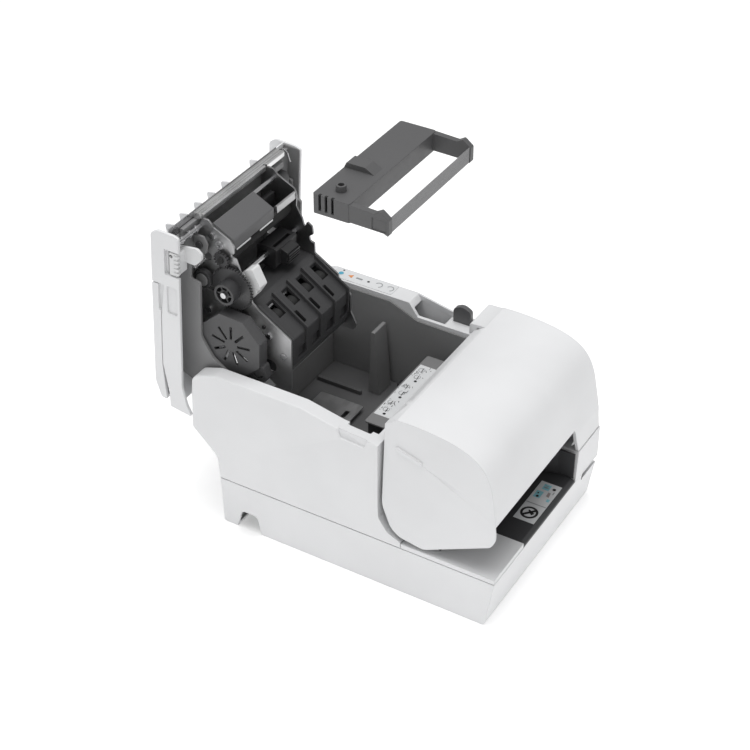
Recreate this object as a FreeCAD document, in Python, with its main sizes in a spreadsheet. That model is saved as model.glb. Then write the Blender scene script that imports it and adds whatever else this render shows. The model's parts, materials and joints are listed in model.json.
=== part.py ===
import FreeCAD, Part
import math
import os
from FreeCAD import Placement, Rotation, Vector

# Two-station counter printer, in millimetres: +Z up, front towards -Y, +X to the right seen from the front.
# The upper unit is drawn standing upright and then leant forward by lean_angle about its hinge.

DIMENSIONS = {
    "half_width": 93.0,
    "wall": 2.5,
    "base_top": 45.0,
    "rim_left_inner": -80.0,
    "rim_right_inner": 75.0,
    "cavity_floor": 60.0,
    "hinge_y": 114.0,
    "hinge_z": 119.0,
    "lean_angle": 3.0,
    "cover_hinge_y": -47.0,
    "cover_hinge_z": 155.0,
    "plate_thickness": 1.6,
    "plate_left": -57.0,
    "plate_right": 30.0,
    "unit_right": 73.2,
    "gear_module": 0.8,
    "cassette_base": 304.0,
    "cassette_height": 16.0,
}

doc = FreeCAD.newDocument("counter_printer")
sheet = doc.addObject("Spreadsheet::Sheet", "Dimensions")
for row, (alias, number) in enumerate(DIMENSIONS.items(), start=1):
    sheet.set("A%d" % row, alias)
    sheet.set("B%d" % row, str(number))
    sheet.setAlias("B%d" % row, alias)
doc.recompute()

BASE_TOP = DIMENSIONS["base_top"]
HINGE_Y = DIMENSIONS["hinge_y"]
HINGE_Z = DIMENSIONS["hinge_z"]
PLATE_LEFT = DIMENSIONS["plate_left"]
PLATE_RIGHT = DIMENSIONS["plate_right"]

UPRIGHT = Placement()
LEANT = Placement(Vector(0, 0, 0), Rotation(Vector(1, 0, 0), DIMENSIONS["lean_angle"]), Vector(0, HINGE_Y,
                                                                                               HINGE_Z))

ROLES = {"x": "YZ_Plane", "y": "XZ_Plane", "z": "XY_Plane"}
FACING = {"x": 1, "y": -1, "z": 1}
nodes = []


def dim(alias):
    """The expression that reads one driving dimension."""
    return "Dimensions." + alias


def finish(item, label, placement=UPRIGHT):
    """Name a finished sub-part and put it in its place."""
    item.Label = label
    item.Placement = placement.multiply(item.Placement)
    nodes.append(item)
    return item


def corner_arc(before, corner, after, radius):
    """Start, middle and end of the arc that rounds one corner of an outline."""
    a = (before - corner).normalize()
    b = (after - corner).normalize()
    half = a.getAngle(b) / 2
    reach = radius / math.tan(half)
    bisector = (a + b).normalize()
    centre = corner + bisector * (radius / math.sin(half))
    return corner + a * reach, centre - bisector * radius, corner + b * reach


def outline_edges(points):
    """Closed outline: each point is (u, v) or (u, v, corner radius)."""
    corners = [Vector(p[0], p[1], 0) for p in points]
    radii = [p[2] if len(p) > 2 else 0 for p in points]
    count = len(points)
    starts = []
    edges = []
    for i in range(count):
        if radii[i]:
            first, middle, last = corner_arc(corners[i - 1], corners[i], corners[(i + 1) % count], radii[i])
            edges.append(Part.Arc(first, middle, last))
        else:
            first = last = corners[i]
        starts.append((first, last))
    for i in range(count):
        leave = starts[i][1]
        arrive = starts[(i + 1) % count][0]
        if (arrive - leave).Length > 1e-6:
            edges.append(Part.LineSegment(leave, arrive))
    return edges


def circle_at(u, v, radius):
    """A round outline."""
    return Part.Circle(Vector(u, v, 0), Vector(0, 0, 1), radius)


class Solid:
    """A PartDesign body built from outlines padded or pocketed between two stations along an axis."""

    def __init__(self, name):
        self.body = doc.addObject("PartDesign::Body", name)

    def sketch(self, axis, shapes, offset):
        sketch = self.body.newObject("Sketcher::SketchObject", "Outline")
        plane = [f for f in self.body.Origin.OriginFeatures if f.Role == ROLES[axis]][0]
        sketch.AttachmentSupport = [(plane, "")]
        sketch.MapMode = "FlatFace"
        for shape in shapes:
            if isinstance(shape, Part.Circle):
                sketch.addGeometry(shape, False)
                continue
            edges = outline_edges(shape) if isinstance(shape[0], tuple) else shape
            for edge in edges:
                sketch.addGeometry(edge, False)
        sketch.setExpression("AttachmentOffset.Base.z", offset)
        sketch.Visibility = False
        return sketch

    def feature(self, kind, axis, shapes, low, high, at_low):
        offset = str(low) if at_low else str(high)
        if FACING[axis] < 0:
            offset = "-(%s)" % offset
        sketch = self.sketch(axis, shapes, offset)
        item = self.body.newObject("PartDesign::" + kind, kind)
        item.Profile = sketch
        item.setExpression("Length", "(%s) - (%s)" % (high, low))
        return item

    def pad(self, axis, shapes, low, high):
        self.feature("Pad", axis, shapes, low, high, FACING[axis] > 0)
        return self

    def pocket(self, axis, shapes, low, high):
        self.feature("Pocket", axis, shapes, low, high, FACING[axis] < 0)
        return self

    def done(self, label, placement=UPRIGHT):
        doc.recompute()
        return finish(self.body, label, placement)


def rect(u0, v0, u1, v1, radius=0):
    """A rectangle, with rounded corners when a radius is given."""
    return [(u0, v0, radius), (u1, v0, radius), (u1, v1, radius), (u0, v1, radius)]


def block(name, x0, x1, y0, y1, z0, z1, radius=0):
    """A block between stations, its corners rounded about Z."""
    return Solid(name).pad("z", [rect(x0, y0, x1, y1, radius)], z0, z1)


def rod(name, x0, x1, y, z, radius, bore=0):
    """A round bar along X, hollow when a bore is given."""
    shapes = [circle_at(y, z, radius)]
    if bore:
        shapes.append(circle_at(y, z, bore))
    return Solid(name).pad("x", shapes, x0, x1)


# ---------------------------------------------------------------- base and case

ROCKER_PIVOT = (91.75, -97.25)


def base_tray():
    top = dim("base_top")
    side = [(-132.7, 0, 3), (111, 0, 3), (112.5, BASE_TOP), (-139.5, BASE_TOP)]
    tray = Solid("Tray").pad("x", [side], "-" + dim("half_width"), dim("half_width"))
    tray.pocket("z", [rect(-90.5, -129, 90.5, 108.5, 3)], 3.5, top)
    notch = [(74.3, 0), (98, 0), (93, 18, 5), (78, 18, 5)]
    tray.pocket("x", [notch], -94, -60)
    tray.pocket("z", [circle_at(x, y, 7.05) for x in (-78, 78) for y in (-112, 58)], 0, 2)
    tray.pocket("x", [rect(-110, 36, -84, 42, 1)], 86, 94)
    tray.pocket("z", [circle_at(*ROCKER_PIVOT, 0.85)], 34.6, 43.4)
    tray.pad("z", [circle_at(x, y, 3) for x in (-74, 54) for y in (-34, 89)], 3, 12)
    tray.pocket("z", [[(64, -141), (64, -138.6), (91, -131), (94, -131), (94, -141)]], 36.5, 43.5)
    vents = [rect(20 + 9 * n, 16, 23 + 9 * n, 30, 1) for n in range(6)]
    tray.pocket("x", vents, 80, 94)
    tray.done("base_tray")


def grouped(label, items, placement=UPRIGHT):
    """Several identical solids kept as one sub-part."""
    doc.recompute()
    group = doc.addObject("Part::Compound", label)
    group.Links = items
    return finish(group, label, placement)


def rubber_feet():
    spots = [(x, y) for x in (-78, 78) for y in (-112, 58)]
    feet = [Solid("Foot").pad("z", [circle_at(x, y, 7)], 0, 2).body for x, y in spots]
    grouped("rubber_feet", feet)


def main_case():
    bottom = BASE_TOP + 0.2
    side = [(-57, bottom), (-57, 51), (-45, 56.5, 8), (-37, 68, 8), (-36.5, 81, 8), (-36.5, 138.6),
            (0.5, 141.4, 20),
            (33, 148, 20), (113.5, 148.1, 12), (131, 142, 10), (135, 137, 6), (137, 89, 4), (125, 77.5, 8),
            (114.5, 67, 12), (112.6, bottom)]
    case = Solid("Case").pad("x", [side], "-" + dim("half_width"), dim("half_width"))
    # Rear bay, open at the top and over the low rear wall.
    floor = DIMENSIONS["cavity_floor"]
    bay = [(-30, floor), (108, floor), (108, 92), (140, 92), (140, 160), (-30, 160)]
    case.pocket("x", [bay], dim("rim_left_inner"), dim("rim_right_inner"))
    # Underside hollows.
    under = [(-54.5, 45), (-54.5, 49), (-40, 57), (110, 57), (110, 45)]
    case.pocket("x", [under], -90.5, 90.5)
    left_hollow = [(-34, 57), (-34, 128), (0, 136), (30, 143), (112, 143), (128, 136), (132, 92),
                   (110, 76), (110, 57)]
    case.pocket("x", [left_hollow], -90.5, -83)
    case.pocket("x", [left_hollow], 78, 90.5)
    # The right rim steps down in front of the indicator strip.
    step = [(50, 160), (50, 151), (33, 148.9), (24, 136), (-30, 136), (-37, 136), (-37, 160)]
    case.pocket("x", [step], 70, 90.4)
    # Latch hole, thumb pocket and hinge pin bores in the left rim.
    case.pocket("z", [rect(-83.5, -25, -79, -4.5, 1.5)], 120, 150)
    case.pocket("x", [[(-27, 141.5), (0, 143), (-3, 133, 2), (-24, 131.5, 2)]], -94, -91)
    case.pocket("x", [circle_at(HINGE_Y, HINGE_Z, 4.04)], -88, 88)
    # Shadow groove over the base's rim.
    for low, high in ((-94, -92.3), (92.3, 94)):
        case.pocket("x", [rect(-60, 44, 116, 45.9)], low, high)
    case.done("main_case")


def front_deck():
    deck = Solid("Deck").pad("z", [rect(-93, -139.5, -43.5, -57.5)], BASE_TOP + 0.2, 50)
    deck.pad("z", [rect(-44, -90, 93, -57.5)], BASE_TOP + 0.2, 49)
    deck.pocket("z", [rect(-89.5, -136, -46, -60)], 45, 48)
    deck.pocket("x", [rect(-141, 44, -56, 45.8)], -94, -92.3)
    deck.pocket("y", [rect(-95, 44, -42, 45.8)], -141, -138.8)
    deck.done("front_deck")


SLIP_ROLLER_AT = (-100, 57.5)


def slip_table():
    side = [(-139.5, 45.2), (-139.5, 47, 1.5), (-136, 48.6, 3), (-90.5, 48.6), (-90.5, 45.2)]
    table = Solid("Table").pad("x", [side], -43, 49)
    for n in range(5):
        x = 2 + 9 * n - 38
        table.pad("z", [rect(x, -112, x + 1.2, -94, 0.5)], 48.6, 49.2)
    for x in (-39, 40):
        table.pad("x", [rect(-106, 47, -94, 64, 2)], x, x + 2.5)
    table.pocket("x", [circle_at(*SLIP_ROLLER_AT, 2.55)], -40, 43)
    table.done("slip_table")


def right_column():
    face = [(50, 45.2), (52.5, 74.5, 1), (93, 74.5), (93, 45.2)]
    column = Solid("Column").pad("y", [face], -139.5, -91)
    column.pocket("y", [[(53, 44), (55, 72), (90.5, 72), (90.5, 44)]], -137, -90)
    cheek = [(-92, 49.2), (-57.8, 49.2), (-57.8, 51.6), (-45.6, 57.4, 8), (-37.7, 68.6, 8), (-37.2, 74.5),
             (-92, 74.5)]
    column.pad("x", [cheek], 87, 92.6)
    column.done("right_column")


def guide_wall():
    """Curved wall that leads a slip past the right column."""
    arc = [(49.7, -138.2, 0.8), (49.7, -92), (45, -92), (45, -112, 8), (48.2, -124, 8), (48.2, -138.2)]
    Solid("Guide").pad("z", [arc], 49.3, 74).done("slip_guide_wall")


def slip_frame():
    """Dark frame under the front cover that carries the slip rollers."""
    side = [(-57.8, 50.2), (-57.8, 60), (-47, 70), (-43, 84), (-43, 136, 4), (-80, 136, 8), (-104, 124, 8),
            (-112, 100, 6), (-118, 76, 3), (-108, 66), (-88, 66), (-88, 50.2)]
    frame = Solid("Frame").pad("x", [side], -84, 84)
    hollow = [(-61, 52), (-61, 62), (-50, 72), (-46, 86), (-46, 133), (-79, 133), (-101, 122), (-109, 98),
              (-113, 78),
              (-106, 69), (-85, 69), (-85, 52)]
    frame.pocket("x", [hollow], -81, 81)
    slots = [rect(-62 + 22 * n, 74, -54 + 22 * n, 96, 1) for n in range(6)]
    frame.pocket("y", slots, -125, -95)
    frame.pocket("z", [rect(44.4, -125, 85, -88.2)], 49, 78)
    y, z = DIMENSIONS["cover_hinge_y"], DIMENSIONS["cover_hinge_z"]
    for x in (-72, 66):
        ear = [(y - 4, 134), (y - 4, z + 3.5, 3), (y + 3.4, z + 3.5, 3), (y + 3.3, z - 1), (y - 1.6, 134)]
        frame.pad("x", [ear], x, x + 6)
    frame.pocket("x", [circle_at(y, z, 2)], -74, 74)
    frame.done("slip_frame")


def slip_rollers():
    shaft = rod("SlipShaft", -40, 44, *SLIP_ROLLER_AT, 2.5)
    for n in range(3):
        x = -32 + 28 * n
        shaft.pad("x", [circle_at(*SLIP_ROLLER_AT, 5.5)], x, x + 10)
    shaft.done("slip_feed_roller")


# ---------------------------------------------------------------- front cover

COVER_CROWN = [(-49.5, 164.6), (-62, 164.9), (-85, 163.3), (-109, 157.6), (-122, 149.2), (-129.5, 137.5),
               (-134.2, 118),
               (-137.2, 99), (-137.6, 88), (-133, 79.4)]


def cover_outline():
    """Side outline of the front cover: a smooth crown, a slanted lower edge and a rounded rear corner."""
    crown = Part.BSplineCurve()
    points = [Vector(y, z, 0) for y, z in COVER_CROWN]
    crown.interpolate(points)
    start, end = points[0], points[-1]
    lower = outline_edges([(-133, 79.4), (-77.4, 53.2, 10), (-50, 57.5, 18), (-39.4, 82, 24),
                           (-39.4, 157.8), (-49.5, 164.6)])
    lower.pop()
    return [crown] + lower


def front_cover():
    y, z = DIMENSIONS["cover_hinge_y"], DIMENSIONS["cover_hinge_z"]
    cover = Solid("Cover").pad("x", [cover_outline()], "-" + dim("half_width"), dim("half_width"))
    inner = [(-37, 87), (-37, 153.4), (-50.2, 162), (-62, 162.4, 30), (-84, 160.8, 40), (-107, 155.4, 40),
             (-120, 147.4, 20),
             (-127, 136, 30), (-131.7, 117, 60), (-134.7, 99, 60), (-135, 86), (-131, 75), (-131, 45),
             (-37, 45)]
    cover.pocket("x", [inner], -84, 84)
    cover.pad("x", [[(-137.2, 99), (-138.9, 75.2), (-136.2, 75.2), (-134.5, 99)]], 44, 92)
    cover.pad("x", [[(-137, 98), (-138.6, 75.2), (-80, 75.2), (-80, 100)]], 88.6, 92)
    for side in (-1, 1):
        lean = [(side * 93.2, 50), (side * 86.4, 170), (side * 96, 170), (side * 96, 50)]
        cover.pocket("y", [lean], -150, -30)
        low, high = sorted((side * 83.5, side * 88.3))
        cover.pocket("x", [[(-37, 45), (-37, 104), (-130, 104), (-131, 45)]], low, high)
        low, high = sorted((side * 63, side * 58))
        cover.pad("x", [rect(y - 3.6, z - 3.6, y + 3.6, 163)], low, high)
        low, high = sorted((side * 73, side * 60))
        cover.pad("x", [circle_at(y, z, 1.95)], low, high)
    cover.pocket("y", [[(-90, 40), (-90, 100), (46, 100), (53, 75), (56, 40)]], -150, -100)
    cover.pocket("y", [rect(49, 40, 95, 75.2)], -150, -30)
    # Rear extension over the right rim.
    cover.pad("x", [[(-50, 164.4), (-35.4, 163.8, 2), (-35.4, 154), (-37.6, 154), (-37.6, 161),
                     (-50, 162)]], 54, 86)
    for x in (54, 84):
        cover.pad("x", [[(-42, 162), (-42, 154), (-36, 154), (-36, 162)]], x, x + 2)
    grip = [(-50, 141.2, 1), (-73, 134.6, 1), (-73, 131.4, 1), (-50, 138, 1)]
    cover.pad("x", [grip], -90, -87)
    cover.pad("x", [grip], 87, 90)
    cover.done("front_cover")


# ---------------------------------------------------------------- rear bay

def bay_floor():
    floor = block("Floor", -79.8, 74.8, -29.8, 107.8, 60.2, 62.2)
    for x in (-52, -6, 42):
        floor.pad("z", [rect(x, 60, x + 3, 104, 1)], 62.2, 66)
    floor.done("bay_floor")


def bay_liners():
    """Grey inner walls of the rear bay."""
    side = [(-29.6, 62.4), (-29.6, 132), (24, 133), (50, 144), (112, 144), (127, 138), (132, 130),
            (132, 92.4),
            (107.6, 92.4), (107.6, 62.4)]
    liners = []
    for x in (-79.8, 73.6):
        liner = Solid("Liner").pad("x", [side], x, x + 1.2)
        liner.pocket("x", [circle_at(HINGE_Y, HINGE_Z, 4.4)], x - 1, x + 2)
        liners.append(liner.body)
    liners.append(block("Liner", -78.4, 73.4, 106.4, 107.6, 62.4, 91.8).body)
    grouped("bay_liners", liners)


def slip_path():
    block("Path", -40, 52, -14, 4.5, 62.4, 113, 2).done("slip_path_block")
    plate = Solid("PathPlate").pad("z", [rect(-44, -23.4, 58, 4.5, 2)], 113, 114.4)
    plate.pocket("z", [rect(x, -21, x + 9, -17, 1) for x in (-38, -10, 18)], 112, 115)
    plate.done("slip_path_plate")


def cassette_posts():
    posts = [block("Post", x, x + 7, y, y + 7, 62.4, 72).body for x in (-60, 61) for y in (-22, 28)]
    grouped("cassette_posts", posts)


def guide_post():
    side = [(46, 62.4), (57, 62.4), (54.5, 125, 1), (51, 125, 1)]
    Solid("GuidePost").pad("x", [side], 50, 69).done("guide_post")


def bay_plate():
    plate = block("BayPlate", -46, 24, 46, 88, 66.2, 67.6, 2)
    plate.pocket("z", [rect(-38 + 20 * n, 52, -28 + 20 * n, 56, 1.5) for n in range(3)], 66, 68)
    plate.done("bay_plate")


def rim_parts():
    film = block("Film", 77, 91.5, 51, 111, 148.1, 148.5, 2)
    film.done("indicator_film")
    hook = [(-20, 136.2), (-20, 149, 4), (-12, 153, 8), (-4, 149, 4), (-4, 136.2)]
    Solid("Hook").pad("x", [hook], 85.5, 90).done("cover_catch")
    block("Striker", -83.4, -80.1, -20, -17, 122, 126).done("latch_striker")


def hinge_pins():
    pins = [rod("HingePin", x0, x1, HINGE_Y, HINGE_Z, 4).body for x0, x1 in ((-87.5, -62.5), (57.5, 87.5))]
    grouped("hinge_pins", pins)


def base_inside():
    corners = [(x, y) for x in (-74, 54) for y in (-34, 89)]
    board = block("Board", -80, 60, -40, 95, 12, 13.6, 3)
    board.pocket("z", [circle_at(x, y, 1.7) for x, y in corners], 11, 15)
    board.done("circuit_board")
    chips = [block("Chip", x, x + 16, y, y + 12, 13.6, 16.4).body for x in (-60, -20, 20) for y in (-20,
                                                                                                    30)]
    grouped("board_chips", chips)
    block("Supply", -70, 70, -120, -60, 4, 36, 3).done("power_supply")
    jacks = [block("Jack", x, x + w, 100, 108.4, 14, 14 + h, 1).body for x, w, h in
             ((-50, 16, 14), (-20, 14, 13), (10, 30, 12), (50, 14, 14))]
    grouped("rear_jacks", jacks)


def power_rocker():
    """Rocking switch in the base's right side, on two short pins."""
    wedge = [(-108.5, 36.8, 1), (-108.5, 41.2, 1), (-86, 41.2, 1), (-86, 36.8, 1)]
    rocker = Solid("Rocker").pad("x", [wedge], 90.6, 93.8)
    rocker.pad("z", [circle_at(*ROCKER_PIVOT, 0.8)], 35, 43)
    rocker.done("power_rocker")


# ---------------------------------------------------------------- upper unit, drawn upright

UNIT_INNER = DIMENSIONS["unit_right"] - 2.3


def unit_case():
    side = [(136.5, 97, 1), (141.5, 107, 14), (145.5, 123), (145.5, 264.6, 2), (150, 266), (165, 266, 3),
            (171.2, 262, 4),
            (171.5, 217.5, 0.8), (160.2, 217.5), (163.2, 187.5), (163.6, 140), (158, 113), (157, 99, 1)]
    case = Solid("UnitCase").pad("x", [side], "-" + dim("half_width"), dim("unit_right"))
    case.pad("x", [[(141.2, 112), (141.2, 264.4, 2), (147, 265.9), (150, 266), (150, 112)]], UNIT_INNER,
             dim("unit_right"))
    case.pocket("x", [[(130, 90), (130, 270), (157, 270), (157, 124), (153, 112), (153, 90)]], -90.5,
                UNIT_INNER)
    case.pocket("x", [[(159.5, 220), (168.9, 220), (168.9, 245), (159.5, 258.9)]], -90.5, UNIT_INNER)
    case.pocket("x", [rect(160.1, 122, 165, 217.5)], -90.5, UNIT_INNER)
    # The top falls away behind the paper exit.
    case.pocket("x", [[(158.2, 272), (158.2, 265), (171.8, 245), (174, 245), (174, 272)]], -90.5,
                UNIT_INNER)
    case.pocket("x", [rect(148, 192, 157.5, 218, 2)], -94, -91.4)
    case.pocket("x", [rect(140, 228.4, 159, 251.5, 1)], -94, -90)
    for x in (-66, 60):
        case.pad("x", [[(156, 104.8, 1), (156, 112.5, 1), (166.8, 111.8, 2), (166.8, 106.8, 2)]], x, x + 6)
    case.pocket("x", [circle_at(164.5, 109, 1.5)], -70, 70)
    for x in (-81.8, -63.8, -44.8, -26.8, -7.8, 32.2):
        case.pad("x", [[(158.3, 256), (158.3, 267.4, 1), (165, 265.6, 0.6), (165, 263, 0.6), (163, 255)]],
                 x, x + 1.6)
    case.done("unit_case", LEANT)


def unit_frame():
    """Inner frame: back plate and the two arms that reach down to the hinge."""
    arm = [(156, 236), (146, 236, 2), (146, 220, 2), (137, 219, 3), (137, 168, 10), (126, 152, 12),
           (107, 140, 20),
           (101, 119, 12), (106, 106, 10), (122, 106, 10), (134, 118, 6), (156, 126, 4)]
    frame = Solid("UnitFrame").pad("x", [arm], -77.5, -75)
    frame.pad("x", [rect(152.4, 128, 156, 262)], -76, 70.4)
    frame.pad("x", [rect(141.8, 126, 156.8, 264.6, 1.5)], 69.8, 70.7)
    frame.pad("x", [arm], 66.4, 68.9)
    frame.pad("x", [circle_at(HINGE_Y, HINGE_Z, 9)], -76, -67)
    frame.pad("x", [circle_at(HINGE_Y, HINGE_Z, 9)], 59, 68.4)
    frame.pocket("x", [circle_at(HINGE_Y, HINGE_Z, 4.05)], -80, 75)
    frame.done("unit_frame", LEANT)


def roll_cover():
    side = [(171.3, 216.6, 1.5), (171.3, 120, 12), (165.8, 105, 3), (160.6, 105, 0.5), (164.1, 140),
            (163.7, 187.5),
            (160.7, 216.6, 0.5)]
    lid = Solid("RollCover").pad("x", [side], "-" + dim("half_width"), dim("unit_right"))
    lid.pocket("x", [[(150, 214), (168.8, 214, 2), (168.8, 121, 12), (164.6, 107.6, 3), (150, 107.6)]],
               -90.3, 70.5)
    lid.pocket("x", [circle_at(164.5, 109, 1.55)], -91.8, 72)
    for x in (-67, 59):
        lid.pocket("z", [rect(x, 155, x + 8, 168.6)], 104, 112)
    lid.pocket("x", [rect(155, 192, 165.5, 217, 1.5)], -94, -91.1)
    lid.done("roll_cover", LEANT)
    rod("LidRod", -91.6, 71.8, 164.5, 109, 1.5).done("lid_hinge_rod", LEANT)


def latch_lever():
    arm = [(156, 250, 2), (142, 252.6, 4), (136, 253.6, 4), (131.6, 250, 4), (131.6, 245, 4),
           (137.5, 238.4, 4),
           (150, 238, 3), (156, 232, 2)]
    lever = Solid("Lever").pad("x", [arm], -82.6, -80)
    lever.pad("x", [rect(147, 229.6, 154.5, 250, 1)], -92.4, -80)
    for n in range(5):
        lever.pad("x", [rect(145.8, 231 + 3.8 * n, 150, 233 + 3.8 * n)], -92.9, -90)
    lever.pocket("x", [circle_at(153, 246.5, 1.55)], -95, -79)
    lever.done("latch_lever", LEANT)
    latch_pin = rod("LatchPin", -90.5, -78, 153, 246.5, 1.5).body
    disc_axle = rod("DiscAxle", -74.2, PLATE_LEFT - 1.6, *GEAR_HUB, 2.5).body
    cross_shaft = rod("CrossShaft", -90.2, PLATE_LEFT - 1.7, 149.4, 257.6, 2)
    for x in (-84, -74, -66):
        cross_shaft.pad("x", [circle_at(149.4, 257.6, 3)], x, x + 2)
    grouped("fixed_pins", [latch_pin, disc_axle, cross_shaft.body], LEANT)


# ---------------------------------------------------------------- print mechanism

GEAR_HUB = (118.0, 213.0)
GEAR_STATION = (-62.8, -60.2)
DISC_TEETH = 46
PINION_TEETH = 20
PLATEN_TEETH = 16


def mesh_centre(teeth, direction_deg):
    """Centre of a gear that meshes with the big disc in one direction."""
    reach = DIMENSIONS["gear_module"] * (DISC_TEETH + teeth) / 2
    angle = math.radians(direction_deg)
    return GEAR_HUB[0] + reach * math.cos(angle), GEAR_HUB[1] + reach * math.sin(angle)


PLATEN_AT = mesh_centre(PLATEN_TEETH, 67.5)
PINION_AT = mesh_centre(PINION_TEETH, -99)
GUIDE_AT = (119.0, 217.0)
PINCH_AT = (90.0, 185.5)
HOUSING_AT = (110.5, 168.5)


def gear_outline(centre, teeth, phase_deg):
    """Straight-flanked teeth, thinned a little so that a pair runs free."""
    module = DIMENSIONS["gear_module"]
    pitch = module * teeth / 2
    tip, root = pitch + 0.85 * module, pitch - 1.2 * module
    step = 2 * math.pi / teeth
    points = []
    for n in range(teeth):
        middle = n * step + math.radians(phase_deg)
        for radius, share in ((root, -0.33), (tip, -0.11), (tip, 0.11), (root, 0.33)):
            angle = middle + share * step
            points.append((centre[0] + radius * math.cos(angle), centre[1] + radius * math.sin(angle)))
    return points


def side_plates():
    left = [(152.3, 256), (147, 265, 2), (142, 265, 2), (137, 260.2, 3), (121, 253.4, 4), (118.3, 249),
            (118.3, 243),
            (122, 240, 1), (116.5, 238.5), (101.3, 203.7, 2), (94.1, 198.4), (65, 182.2, 3), (63.5, 133,
                                                                                              4),
                                                                                              (76, 131, 4),
            (96, 146, 4), (128, 150, 4), (152.3, 166)]
    right = [(152.3, 258), (147, 267, 2), (141, 267, 2), (137, 263, 3), (120.5, 255.5, 4), (118.4, 250),
             (118.6, 240),
             (112.5, 230, 1), (110, 222, 1), (108, 229, 1), (103, 226, 2), (101.7, 219, 2), (105.5, 216,
                                                                                             1),
                                                                                             (104.5, 212,
                                                                                              1),
             (100.5, 211, 1), (99.8, 202), (77, 189.5, 2), (75.9, 183), (64.7, 175, 3), (63.9, 158),
             (58, 147.3, 2),
             (60, 141, 2), (76, 140, 4), (96, 146, 4), (128, 150, 4), (152.3, 166)]
    thickness = dim("plate_thickness")
    plate = Solid("LeftPlate").pad("x", [left], dim("plate_left") + " - " + thickness, dim("plate_left"))
    holes = [circle_at(*PLATEN_AT, 2.55), circle_at(*PINCH_AT, 1.55), circle_at(143, 232, 4),
             circle_at(140, 206, 6),
             circle_at(84, 150, 6)]
    plate.pocket("x", holes, PLATE_LEFT - 3, PLATE_LEFT + 1)
    plate.done("left_plate", LEANT)
    plate = Solid("RightPlate").pad("x", [right], dim("plate_right"),
                                    dim("plate_right") + " + " + thickness)
    plate.pocket("x", holes[:4], PLATE_RIGHT - 1, PLATE_RIGHT + 3)
    plate.done("right_plate", LEANT)


INNER_LEFT = PLATE_LEFT + 0.1
INNER_RIGHT = PLATE_RIGHT - 0.1


def exit_parts():
    bar = Solid("ExitBar").pad("x", [rect(147.6, 262.3, 156.2, 267.6, 1)], -58, 57)
    for n in range(3):
        bar.pocket("x", [rect(149.2 + 2.4 * n, 267, 150.2 + 2.4 * n, 270)], -59, 58)
    bar.pocket("x", [rect(140, 260, 150.5, 270)], PLATE_LEFT - 1.9, PLATE_LEFT + 0.3)
    bar.pocket("x", [rect(140, 260, 150.5, 270)], PLATE_RIGHT - 0.3, PLATE_RIGHT + 1.9)
    bar.done("exit_bar", LEANT)
    blade = Solid("Blade").pad("x", [rect(156.3, 258, 156.9, 267.8)], -90, 58)
    blade.done("tear_blade", LEANT)
    rod("TieRod", INNER_LEFT, INNER_RIGHT, 141, 258, 2).done("tie_rod", LEANT)
    wire = [(156.9, 250), (156.9, 263.4, 2), (152, 267.6, 2), (147, 265, 2), (144, 257), (145.2, 257),
            (147.8, 264, 1),
            (152, 266.2, 1), (156.1, 262.6, 1), (156.1, 250)]
    hook = Solid("WireHook").pad("x", [wire], 60.2, 61.4)
    hook.done("paper_hook", LEANT)


def head_cover():
    top = [(138.6, 263.4, 1), (119, 254.6, 1.5), (119, 245, 1), (121, 245), (121, 252.6, 1), (139.5, 261,
                                                                                              1)]
    Solid("HeadCover").pad("x", [top], INNER_LEFT, -2).done("head_cover", LEANT)
    lip = [(121.3, 251, 1), (121.3, 243.6, 1), (123.2, 243.6), (123.2, 251)]
    Solid("HeadLip").pad("x", [lip], INNER_LEFT, INNER_RIGHT).done("head_lip", LEANT)
    tab = Solid("Tab").pad("x", [[(119.6, 255, 1), (118.8, 246.5, 1), (120.9, 246.5), (121.2, 253)]], 3,
                           INNER_RIGHT)
    tab.done("ground_tab", LEANT)


def thermal_head():
    head = Solid("Head").pad("x", [[(136, 230, 1), (136, 250, 1), (140, 250, 1), (144, 244, 1),
                                    (144, 230, 1)]], -52, 25)
    head.pocket("x", [rect(140, 234, 145, 240)], -48, 21)
    head.done("thermal_head", LEANT)
    springs = [Solid("Spring").pad("y", [circle_at(x, 247, 2.2), circle_at(x, 247, 1.4)], 144.2, 152.3).body
               for x in (-40, -14, 12)]
    grouped("head_springs", springs, LEANT)


def platen():
    y, z = PLATEN_AT
    roller = rod("Platen", PLATE_LEFT + 1, PLATE_RIGHT - 1, y, z, 5.4)
    roller.pad("x", [circle_at(y, z, 2.5)], GEAR_STATION[0] - 1.5, PLATE_RIGHT + 4)
    roller.done("platen_roller", LEANT)
    gear = Solid("PlatenGear").pad("x", [gear_outline(PLATEN_AT, PLATEN_TEETH,
                                                      67.5 + 180 + 180 / PLATEN_TEETH)], *GEAR_STATION)
    gear.pocket("x", [circle_at(y, z, 2.54)], GEAR_STATION[0] - 1, GEAR_STATION[1] + 1)
    gear.done("platen_gear", LEANT)


def disc_and_pinion():
    y, z = GEAR_HUB
    disc = Solid("Disc").pad("x", [gear_outline(GEAR_HUB, DISC_TEETH, 67.5)], *GEAR_STATION)
    disc.pad("x", [circle_at(y, z, 9)], -73, -61)
    disc.pocket("x", [circle_at(y, z, 7)], -74, -65)
    disc.pad("x", [circle_at(y, z, 4)], -72, -63)
    for n in range(6):
        angle = math.radians(60 * n)
        spoke = [(y + r * math.cos(angle) - s * 0.6 * math.sin(angle),
                  z + r * math.sin(angle) + s * 0.6 * math.cos(angle))
                 for r, s in ((3, -1), (7.5, -1), (7.5, 1), (3, 1))]
        disc.pad("x", [spoke], -72, -64)
    disc.pocket("x", [circle_at(y, z, 2.55)], -75, -58)
    disc.done("drive_disc", LEANT)
    pinion = Solid("Pinion").pad("x", [gear_outline(PINION_AT, PINION_TEETH, PINION_PHASE)], *GEAR_STATION)
    pinion.pad("x", [circle_at(*PINION_AT, 1.2)], -68, GEAR_STATION[1])
    pinion.done("motor_pinion", LEANT)


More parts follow.
